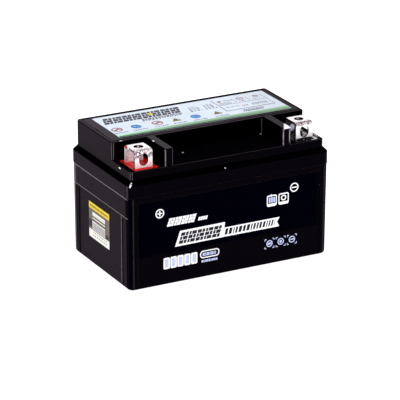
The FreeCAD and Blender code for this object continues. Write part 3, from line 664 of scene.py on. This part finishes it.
def dashes(piece, material, area, low, high, pick, longest=1.6, gap=0.4, slant=0.0):
    """A row of short bars of uneven length that fills area, as a line of small print reads from afar."""
    left, bottom, right, top = area
    here = left
    while here < right - 0.3:
        end = min(right, here + pick.uniform(0.35, 1.0) * longest)
        piece.shape(material, bar(here, bottom, end, top, slant), low, high)
        here = end + gap


def bricks(piece, material, area, count, low, high, slant=0.0, rows=3):
    """A row of bold marks, each a little wall of flat bricks in a plain running bond."""
    left, bottom, right, top = area
    pitch = (right - left) / count
    step = (top - bottom) / rows
    for place in range(count):
        for row in range(rows):
            foot = bottom + row * step
            start = left + place * pitch + slant * row * step
            end = start + 0.9 * pitch
            split = start + (0.34 if (row + place) % 2 else 0.6) * (end - start)
            gap = 0.035 * pitch
            piece.shape(material, bar(start, foot, split - gap, foot + 0.88 * step, slant), low, high)
            piece.shape(material, bar(split + gap, foot, end, foot + 0.88 * step, slant), low, high)


# ---------------------------------------------------------------- places of the printed surfaces

SIDE_PANEL_DEPTH_MM = 1.35
top_low, top_high = box_mm("top_label")
side_low, side_high = box_mm("side_label")
FRONT_PLANE_MM = LOW.y / MM + SIDE_PANEL_DEPTH_MM
# The box of the painted darkness on the upper front panel.
FRONT_PANEL = (Vector((-68.0, FRONT_PLANE_MM - 0.4, 22.0)), Vector((66.5, FRONT_PLANE_MM + 0.4, 60.4)))


def on_front(across, up, height):
    """A place on the container's front, raised off it by height."""
    return Vector((across, FRONT_PLANE_MM - height, up)) * MM


def on_top(across, back, height):
    """A place on the face that the top label lies on."""
    return Vector((across, back, top_low.z + height)) * MM


def on_side(back, up, height):
    """A place on the face that the side label lies on."""
    return Vector((side_high.x - height, back, up)) * MM


# ---------------------------------------------------------------- inks

WHITE_INK = ink("white_ink", colour(250, 250, 253))
PALE_INK = ink("pale_lavender_ink", colour(188, 196, 232))
BLACK_INK = ink("black_ink", colour(10, 10, 14), 1.4)
NAVY_INK = ink("navy_ink", colour(26, 32, 52), 1.3)
BLUE_INK = ink("blue_ink", colour(30, 140, 222))
RED_INK = ink("red_brown_ink", colour(170, 92, 92))
AMBER_INK = ink("amber_ink", colour(176, 138, 56))
GREY_INK = ink("grey_ink", colour(92, 96, 116))
GREEN_INK = ink("green_ink", colour(118, 180, 124), 0.9, colour(96, 214, 112))
PALE_GREEN_INK = ink("pale_green_ink", colour(158, 206, 168), 0.9, colour(210, 252, 228))
YELLOW_INK = ink("yellow_ink", colour(250, 226, 14))
OCHRE_INK = ink("ochre_ink", colour(246, 222, 0))
UMBER_INK = ink("umber_ink", colour(50, 42, 36))
MUSTARD_INK = ink("mustard_ink", colour(150, 112, 0))
TAUPE_INK = ink("taupe_ink", colour(112, 101, 88))
SILVER_INK = ink("silver_ink", colour(208, 204, 202))
CREAM_INK = ink("cream_ink", colour(250, 250, 240))
PALE_BLUE_INK = ink("pale_blue_ink", colour(132, 188, 234))
PURPLE_INK = ink("purple_ink", colour(110, 92, 122))
# The dark green edge is dark ink at the left; its paler right part is a painted highlight along the label's front
# edge.
DARK_GREEN_INK = ink("dark_green_ink", colour(112, 146, 114), 0.9, colour(4, 44, 10), (0.02, 0.045))


def make_front_print():
    """Pole marks, a banner, two framed icons and a bottom row, printed straight on the front panel."""
    pick = random.Random(5)
    piece = Print("front_print", on_front)
    base, coat, over = 0.0, 0.03, 0.05
    for centre_x, centre_z, plus in ((-51.8, 50.8, True), (48.7, 51.8, False)):
        piece.band(WHITE_INK, disc(centre_x, centre_z, 3.2), disc(centre_x, centre_z, 2.45), base, coat)
        arm, half = 1.9, 0.4
        piece.shape(WHITE_INK, bar(centre_x - arm, centre_z - half, centre_x + arm, centre_z + half), base, coat)
        if plus:
            upright = bar(centre_x - half, centre_z - arm, centre_x + half, centre_z + arm)
            piece.shape(WHITE_INK, upright, base, coat - 0.002)
    for left, right in ((27.9, 35.4), (36.7, 44.5)):
        outer = rounded(left, 41.3, right, 49.2, 1.2)
        inner = rounded(left + 0.7, 43.2, right - 0.7, 48.4, 0.5)
        piece.band(WHITE_INK, outer, inner, base, coat)
    for start in (29.4, 31.1, 32.8):
        piece.shape(PALE_INK, bar(start, 43.8, start + 1.3, 47.6), base, coat)
    piece.shape(PALE_INK, bar(30.8, 47.8, 31.6, 49.9), base, coat - 0.002)
    piece.band(WHITE_INK, disc(40.6, 45.9, 2.0), disc(40.6, 45.9, 1.2), base, coat)
    bricks(piece, WHITE_INK, (-46.7, 40.7, -26.2, 46.4), 4, base, coat, 0.35)
    dashes(piece, WHITE_INK, (-23.8, 41.0, -17.2, 43.4), base, coat, pick, 1.8, 0.3, 0.3)
    piece.shape(WHITE_INK, [(-40.7, 25.6), (-4.9, 26.0), (-3.6, 36.4), (-37.0, 36.1)], base, coat)
    bricks(piece, BLACK_INK, (-38.2, 27.0, -7.4, 35.0), 5, coat, over, 0.3)
    tail = [(-6.0, 26.1), (37.4, 26.1), (35.8, 29.6), (37.8, 32.7), (-5.0, 32.5)]
    piece.shape(WHITE_INK, tail, base, coat - 0.002)
    dashes(piece, BLACK_INK, (-4.0, 27.4, 33.6, 31.6), coat, over, pick, 2.4, 0.9, 0.25)
    for tile in range(5):
        start = -49.2 + 5.1 * tile
        piece.shape(WHITE_INK, rounded(start, 11.1, start + 4.6, 19.0, 0.9), base, coat)
        piece.shape(PALE_INK, rounded(start + 0.9, 12.1, start + 3.7, 18.0, 0.6), coat, over)
    piece.band(WHITE_INK, rounded(-22.1, 13.7, -7.8, 19.0, 2.2), rounded(-21.4, 14.4, -8.5, 18.3, 1.5), base, coat)
    dashes(piece, PALE_INK, (-20.2, 15.2, -9.8, 17.4), base, coat, pick, 1.8, 0.4)
    dashes(piece, PALE_INK, (-21.1, 10.8, -8.9, 12.4), base, coat, pick, 1.4, 0.3)
    level = 14.9
    for centre in (30.2, 38.8, 47.4):
        ring_outer, ring_inner = disc(centre, level, 2.4), disc(centre, level, 1.7)
        piece.band(PALE_INK, ring_outer, ring_inner, base, coat)
        for side_x in (-1, 1):
            for side_z in (-1, 1):
                corner_x, corner_z = centre + 3.5 * side_x, level + 3.3 * side_z
                near_x, near_z = corner_x - 1.2 * side_x, corner_z - 1.2 * side_z
                flat = bar(min(corner_x, near_x), corner_z - 0.25, max(corner_x, near_x), corner_z + 0.25)
                tall = bar(corner_x - 0.25, min(corner_z, near_z), corner_x + 0.25, max(corner_z, near_z))
                piece.shape(PALE_INK, flat, base, coat)
                piece.shape(PALE_INK, tall, base, coat - 0.002)
    piece.shape(PALE_INK, bar(28.8, level - 0.7, 31.6, level + 0.7), base, coat)
    piece.shape(PALE_INK, disc(38.8, level, 1.0), base, coat)
    piece.shape(PALE_INK, bar(46.0, level - 0.4, 48.8, level + 0.4, 0.6), base, coat)
    return piece.finish("cover_plastic")


def label_icon(piece, kind, across, back, sheet, coat):
    """One of the top label's round or three-sided icons, with a plain mark inside."""
    over = coat + 0.008
    if kind == "ring":
        piece.band(RED_INK, disc(across, back, 3.9), disc(across, back, 2.9), sheet, coat)
        piece.shape(RED_INK, bar(across - 2.8, back - 0.7, across + 2.8, back + 0.7, 0.8), sheet, coat - 0.002)
        piece.shape(RED_INK, disc(across + 1.2, back + 1.3, 1.0), sheet, coat - 0.004)
        piece.shape(GREY_INK, disc(across - 1.2, back - 1.0, 0.9), sheet, coat - 0.006)
    elif kind == "disc":
        piece.shape(BLUE_INK, disc(across, back, 3.6), sheet, coat)
        piece.shape(PALE_BLUE_INK, disc(across - 0.9, back + 0.5, 0.9), coat, over)
        piece.shape(PALE_BLUE_INK, bar(across + 0.4, back - 1.2, across + 2.2, back - 0.3), coat, over)
    else:
        piece.shape(BLACK_INK, disc(across - 0.4, back - 0.6, 3.9, 3), sheet, coat)
        piece.shape(AMBER_INK, disc(across - 0.4, back - 0.6, 2.7, 3), coat, over)
        piece.shape(BLACK_INK, bar(across - 0.8, back - 1.2, across + 0.1, back + 0.8), over, over + 0.006)


def make_top_label():
    """The film label on the block: bold marks, a row of round icons, a ruled table and a green edge."""
    pick = random.Random(11)
    film_base = film("top_label_film", colour(226, 244, 255))
    piece = Print("top_label_print", on_top)
    left, front, right, back = top_low.x, top_low.y, top_high.x, top_high.y
    sheet, coat = 0.11, 0.13
    piece.shape(film_base, rounded(left, front, right, back, 0.8), 0.0, sheet)
    start, end = left + 0.4, right - 0.4
    pale = [(start, front + 2.2), (end, front + 3.0), (end, front + 6.4), (start, front + 5.2)]
    green = [(start, front + 1.3), (end, front + 0.7), (end, front + 3.8), (start, front + 2.5)]
    piece.shape(PALE_GREEN_INK, pale, sheet, coat)
    piece.shape(GREEN_INK, green, sheet, coat + 0.006)
    piece.shape(DARK_GREEN_INK, bar(start, front + 0.05, end, front + 1.5), sheet, coat + 0.01)
    bricks(piece, NAVY_INK, (-60.4, 20.2, -3.2, 31.9), 8, sheet, coat, 0.3)
    piece.shape(YELLOW_INK, disc(-23.8, 26.6, 1.9), coat, coat + 0.01)
    dashes(piece, NAVY_INK, (-34.0, 17.5, -4.0, 19.2), sheet, coat, pick, 2.6, 0.5)
    dashes(piece, NAVY_INK, (-34.6, 15.2, -6.0, 16.8), sheet, coat, pick, 2.0, 0.9)
    icons = ("ring", "disc", "ring", "triangle", "disc", "triangle")
    for kind, across in zip(icons, (-57.6, -43.5, -27.7, -13.4, 0.9, 17.6)):
        label_icon(piece, kind, across, 8.1, sheet, coat)
        dashes(piece, GREY_INK, (across - 5.0, 0.9, across + 5.6, 2.1), sheet, coat, pick, 1.4, 0.5)
    for row in range(4):
        for column in range(2):
            area = (2.8 + 11.5 * column + 0.5 * row, 17.6 + 2.5 * row, 11.4 + 11.5 * column, 18.9 + 2.5 * row)
            dashes(piece, GREY_INK, area, sheet, coat, pick, 2.2, 1.2)
    make_ruled_table(piece, sheet, coat, pick)
    dashes(piece, NAVY_INK, (34.8, 1.9, 50.4, 3.5), sheet, coat, pick, 1.8, 0.4)
    dashes(piece, NAVY_INK, (35.6, 4.2, 51.2, 5.6), sheet, coat, pick, 1.4, 0.6)
    return piece.finish("top_label_film", "top_label")


def make_ruled_table(piece, sheet, coat, pick):
    """The thin ruled table at the label's right, with rows of small marks and two round stamps."""
    left, right, front, middle, back = 24.6, 61.5, 7.6, 19.6, 31.6
    piece.shape(PURPLE_INK, bar(left, front, right, front + 0.8), sheet, coat)
    piece.shape(PURPLE_INK, bar(left + 2.0, middle, right, middle + 0.5), sheet, coat)
    piece.shape(PURPLE_INK, bar(left, front, left + 0.6, back), sheet, coat - 0.004)
    for level in range(8):
        foot = front + 3.0 * level
        piece.shape(PURPLE_INK, bar(right, foot, right + 0.5, foot + 2.0), sheet, coat - 0.004)
    for across in (39.4, 49.8):
        piece.shape(PURPLE_INK, bar(across, 21.5, across + 0.3, 29.5), sheet, coat - 0.004)
    piece.shape(RED_INK, disc(28.9, 27.4, 1.5), sheet, coat)
    small_print = (
        (GREY_INK, (32.5, 27.0, 38.8, 28.2)),
        (GREY_INK, (26.8, 23.2, 36.2, 24.2)),
        (GREY_INK, (26.6, 21.0, 36.4, 22.0)),
        (GREY_INK, (42.3, 22.2, 46.8, 23.2)),
        (GREY_INK, (52.4, 22.4, 58.2, 23.2)),
        (GREY_INK, (27.8, 13.9, 37.8, 14.8)),
        (RED_INK, (39.4, 12.7, 44.2, 14.3)),
        (GREY_INK, (47.2, 14.4, 58.4, 15.4)),
        (GREY_INK, (47.0, 12.4, 59.4, 13.6)),
    )
    for material, area in small_print:
        dashes(piece, material, area, sheet, coat, pick, 1.8, 0.6)
    for across, radius in ((45.0, 2.7), (57.1, 2.0)):
        piece.band(RED_INK, disc(across, 27.6, radius), disc(across, 27.6, radius - 0.7), sheet, coat)
        piece.shape(GREY_INK, bar(across - 1.1, 27.2, across + 1.1, 28.0), sheet, coat - 0.002)


def make_side_label():
    """The small end label: a yellow strip over a taupe field with a silver patch, and a cream foot."""
    pick = random.Random(3)
    piece = Print("side_label_print", on_side)
    front, bottom, back, top = side_low.y, side_low.z, side_high.y, side_high.z
    sheet, coat, over = 0.10, 0.12, 0.135
    piece.shape(CREAM_INK, bar(front, bottom, back, top), 0.0, sheet)
    piece.shape(TAUPE_INK, bar(front, 24.2, back, 39.2), sheet, coat)
    piece.shape(OCHRE_INK, bar(front, 39.0, back, top), sheet, coat + 0.002)
    dashes(piece, MUSTARD_INK, (front + 2.0, 40.2, back - 1.0, 41.8), coat + 0.004, over, pick, 2.4, 0.5)
    piece.shape(CREAM_INK, bar(-4.9, 34.4, 14.0, 37.1), coat, over)
    dashes(piece, SILVER_INK, (-4.0, 35.0, 13.0, 35.9), over, over + 0.008, pick, 2.0, 0.6)
    piece.shape(CREAM_INK, bar(-4.9, 32.4, 14.0, 33.1), coat, over)
    piece.shape(SILVER_INK, bar(-5.0, 24.7, 14.4, 30.0), coat, over)
    piece.shape(CREAM_INK, bar(-5.0, 29.9, 14.4, 30.6), coat, over)
    for row in range(3):
        dashes(piece, GREY_INK, (-3.8, 25.6 + 1.5 * row, 13.2, 26.2 + 1.5 * row), over, over + 0.008, pick, 2.0, 0.9)
    piece.shape(BLACK_INK, bar(14.7, 25.7, 19.0, 31.1), coat, over)
    piece.shape(UMBER_INK, bar(front + 0.3, 24.4, -5.6, 27.6), coat, over)
    piece.shape(NAVY_INK, bar(-6.4, 25.2, -5.8, 38.0), coat, over + 0.004)
    for row in range(2):
        dashes(piece, GREY_INK, (-7.0, 20.4 + 2.0 * row, 13.0, 21.2 + 2.0 * row), sheet, coat, pick, 1.4, 1.6)
    return piece.finish("side_label_film", "side_label")


# ---------------------------------------------------------------- poured resin around the terminals


def rectangle_distance(x, y, low, high):
    """How far a point lies outside an upright rectangle; 0 inside it."""
    return math.hypot(max(low.x - x, 0, x - high.x), max(low.y - y, 0, y - high.y))


POOL_CORNER_MM, POOL_RINGS = 1.6, 14
POOL_SINK_MM, POOL_RIPPLE_MM, POOL_TILT = 0.1, 0.05, 0.004
WALL_CLIMB_MM, WALL_REACH_MM = 0.75, 0.8
FOOT_CLIMB_MM, FOOT_REACH_MM = 0.45, 0.7


def make_pool(name, node, terminal, material, seed):
    """The resin as it set: flat in the middle, drawn up the walls and up the terminal's foot."""
    low, high = box_mm(node)
    foot_low, foot_high = box_mm(terminal)
    middle = (low + high) / 2
    half_x, half_y = (high.x - low.x) / 2, (high.y - low.y) / 2
    outline = rounded(-half_x, -half_y, half_x, half_y, POOL_CORNER_MM, 5)
    pick = random.Random(seed)
    tilt = pick.uniform(-POOL_TILT, POOL_TILT)
    mesh = bmesh.new()
    loops = []
    for ring in range(1, POOL_RINGS + 1):
        share = math.sin(math.pi / 2 * ring / POOL_RINGS)
        loop = []
        for x, y in outline:
            px, py = middle.x + share * x, middle.y + share * y
            wall = min(half_x - abs(px - middle.x), half_y - abs(py - middle.y))
            climb = WALL_CLIMB_MM * math.exp(-max(wall, 0) / WALL_REACH_MM)
            foot = rectangle_distance(px, py, foot_low, foot_high)
            climb += FOOT_CLIMB_MM * math.exp(-foot / FOOT_REACH_MM)
            ripple = POOL_RIPPLE_MM * math.sin(px * 0.9 + seed) * math.cos(py * 0.7)
            climb += tilt * (px - middle.x) + ripple
            loop.append(mesh.verts.new(Vector((px, py, high.z - POOL_SINK_MM + climb)) * MM))
        loops.append(loop)
    hub = mesh.verts.new(Vector((middle.x, middle.y, high.z)) * MM)
    count = len(outline)
    for here in range(count):
        beyond = (here + 1) % count
        mesh.faces.new([hub, loops[0][here], loops[0][beyond]])
        for inner, outer in zip(loops, loops[1:]):
            mesh.faces.new([inner[here], outer[here], outer[beyond], inner[beyond]])
    floor = [mesh.verts.new(Vector((middle.x + x, middle.y + y, low.z)) * MM) for x, y in outline]
    for here in range(count):
        beyond = (here + 1) % count
        mesh.faces.new([loops[-1][here], floor[here], floor[beyond], loops[-1][beyond]])
    mesh.faces.new(floor[::-1])
    bmesh.ops.recalc_face_normals(mesh, faces=mesh.faces)
    for face in mesh.faces:
        face.smooth = len(face.verts) < 5
    piece = new_piece(name, mesh, [material])
    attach(piece, BODY)
    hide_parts(node)
    return piece


# ---------------------------------------------------------------- dressing the CAD nodes

# Marks on the terminals: place and half size in millimetres, and colour; most of them are painted light: glints, one
# reflection and a band of shade.
TERMINAL_LOOKS = {
    "positive": {
        "tint": colour(255, 252, 252),
        # painted pale reflection inside the hollow
        "hollow_reflection": colour(255, 246, 250),
        "cut_noise": 0.4,
        "cut_back": -25.0,
        "mottle_low": 87.6,
        "marks": [
            ((-64.9, -20.4, 91.9), (0.9, 2.5, 1.7), colour(225, 20, 22)),
            # painted glint on the rim of the top hole
            ((-57.2, -22.3, 92.0), (0.8, 0.7, 0.9), colour(250, 246, 250)),
        ],
    },
    "negative": {
        "tint": colour(253, 249, 249),
        # painted dark reflection inside the hollow
        "hollow_reflection": colour(14, 13, 16),
        "cut_noise": 0.0,
        "cut_back": 0.0,
        "mottle_low": 90.8,
        "marks": [
            # painted shade: a dark band under the front plate
            ((60.95, -33.2, 81.2), (8.0, 0.6, 1.2), colour(6, 5, 8)),
            # painted reflection on the back leg, seen through the side opening
            ((59.4, -19.5, 85.4), (2.0, 0.5, 2.6), colour(205, 208, 236)),
            # painted glint on the rim of the top hole
            ((62.7, -22.3, 92.1), (1.9, 0.7, 0.6), colour(205, 190, 198)),
            # painted highlights seen through the slot
            ((65.8, -19.5, 84.0), (0.4, 0.5, 1.6), colour(250, 250, 252)),
            ((66.6, -19.5, 82.0), (0.8, 0.5, 0.6), colour(250, 250, 252)),
        ],
    },
}
CELLS = 6


def dress_nodes():
    """Gives every CAD node its material."""
    clothe(case_plastic(), "container")
    clothe(lid_plastic(), "lid")
    clothe(cover_plastic(), "valve_cover")
    grey_lead = lead()
    cap_rubber = rubber()
    brown = paste("positive_plate", colour(84, 50, 40), colour(48, 28, 24))
    grey = paste("negative_plate", colour(130, 132, 134), colour(92, 94, 98))
    mat = glass_mat()
    for pole in ("positive", "negative"):
        low, high = box_mm(f"{pole}_terminal")
        tin = metal(f"tinned_{pole}", (low + high) / 2, **TERMINAL_LOOKS[pole])
        clothe(tin, f"{pole}_terminal")
        clothe(grey_lead, f"{pole}_terminal_post")
        clothe(cap_rubber, f"{pole}_post_ring")
    for cell in range(1, CELLS + 1):
        clothe(cap_rubber, f"valve_cap_{cell}")
        clothe(brown, f"cell_{cell}_positive_plates")
        clothe(grey, f"cell_{cell}_negative_plates")
        clothe(mat, f"cell_{cell}_separators")
        clothe(grey_lead, f"cell_{cell}_positive_strap", f"cell_{cell}_negative_strap")
    for weld in range(1, CELLS):
        clothe(grey_lead, f"intercell_weld_{weld}")


# ---------------------------------------------------------------- stage, light and camera

FLOOR_REACH = 6.0
CAMERA_AZIMUTH = math.radians(-27.9045)
CAMERA_ELEVATION = math.radians(20.6477)
CAMERA_ROLL = math.radians(0.0805)
CAMERA_DISTANCE = 1.82572
CAMERA_LENS = 244.841
LOOK_AT = CENTRE + Vector((-1.5, -2.9, -8.6)) * MM


def make_floor():
    """The plain pale floor, which glows a little so that it stays even to its edge."""
    mesh = bmesh.new()
    bmesh.ops.create_circle(mesh, cap_ends=True, segments=96, radius=FLOOR_REACH)
    data = bpy.data.meshes.new("floor")
    mesh.to_mesh(data)
    mesh.free()
    floor = new_object("floor", data)
    made = Shader("studio_floor")
    faint = made.noise(400.0, 2.0)
    made.set(
        Base_Color=made.blend(faint, (0.86, 0.86, 0.86, 1), (0.83, 0.83, 0.83, 1)),
        Emission_Color=(1.0, 1.0, 1.0, 1.0),
        Emission_Strength=0.85,
        Roughness=0.9,
        Specular_IOR_Level=0.1,
    )
    data.materials.append(made.material)


def make_softbox(name, azimuth, elevation, distance, size, radiance):
    """A square area light that faces the object; radiance is how bright it looks."""
    away = direction(math.radians(azimuth), math.radians(elevation))
    data = bpy.data.lights.new(name, "AREA")
    data.size = size
    data.energy = radiance * math.pi * size * size
    light = new_object(name, data)
    light.location = CENTRE + away * distance
    light.rotation_euler = away.to_track_quat("Z", "Y").to_euler()
    light.visible_camera = False


def make_world():
    """A dim, even surround that fills the shadows."""
    world = bpy.data.worlds.new("studio")
    world.use_nodes = True
    background = world.node_tree.nodes["Background"]
    background.inputs["Color"].default_value = (1.0, 0.94, 1.03, 1.0)
    background.inputs["Strength"].default_value = 0.42
    bpy.context.scene.world = world


def make_camera():
    """The camera: a long lens from the front left, a little above the lid."""
    back = direction(CAMERA_AZIMUTH, CAMERA_ELEVATION)
    right = Vector((0, 0, 1)).cross(back).normalized()
    up = back.cross(right)
    rolled_right = right * math.cos(CAMERA_ROLL) + up * math.sin(CAMERA_ROLL)
    rolled_up = up * math.cos(CAMERA_ROLL) - right * math.sin(CAMERA_ROLL)
    data = bpy.data.cameras.new("camera")
    data.lens = CAMERA_LENS
    data.sensor_width = 36.0
    data.clip_end = 50.0
    camera = new_object("camera", data)
    facing = Matrix((rolled_right, rolled_up, back)).transposed().to_4x4()
    camera.matrix_world = Matrix.Translation(LOOK_AT + back * CAMERA_DISTANCE) @ facing
    bpy.context.scene.camera = camera


# ---------------------------------------------------------------- the scene

dress_nodes()
make_front_print()
make_top_label()
make_side_label()
red_glints = [((-51.3, -29.1, 80.6), (0.7, 1.6, 0.9))]
black_glints = [
    ((68.9, -33.0, 80.8), (0.9, 3.4, 1.2)),
    ((66.4, -36.6, 80.8), (2.6, 1.5, 1.2)),
    ((58.8, -36.8, 80.8), (2.4, 0.8, 1.0)),
]
red = resin("red_resin", colour(255, 4, 4), colour(215, 0, 0), 0.12, red_glints)
black = resin("black_resin", colour(10, 10, 14), colour(3, 3, 5), 0.6, black_glints)
make_pool("positive_resin_pool", "positive_terminal_seal", "positive_terminal", red, 1)
make_pool("negative_resin_pool", "negative_terminal_seal", "negative_terminal", black, 2)
make_floor()
make_world()
make_softbox("overhead_softbox", azimuth=20.0, elevation=80.0, distance=2.3, size=2.4, radiance=0.5)
make_softbox("back_softbox", azimuth=150.0, elevation=24.0, distance=2.6, size=1.8, radiance=1.7)
make_softbox("key_lamp", azimuth=-84.0, elevation=63.0, distance=2.5, size=0.16, radiance=120.0)
make_softbox("front_fill", azimuth=5.0, elevation=9.0, distance=2.3, size=0.5, radiance=22.0)
make_camera()
bpy.context.scene.view_settings.view_transform = "Standard"
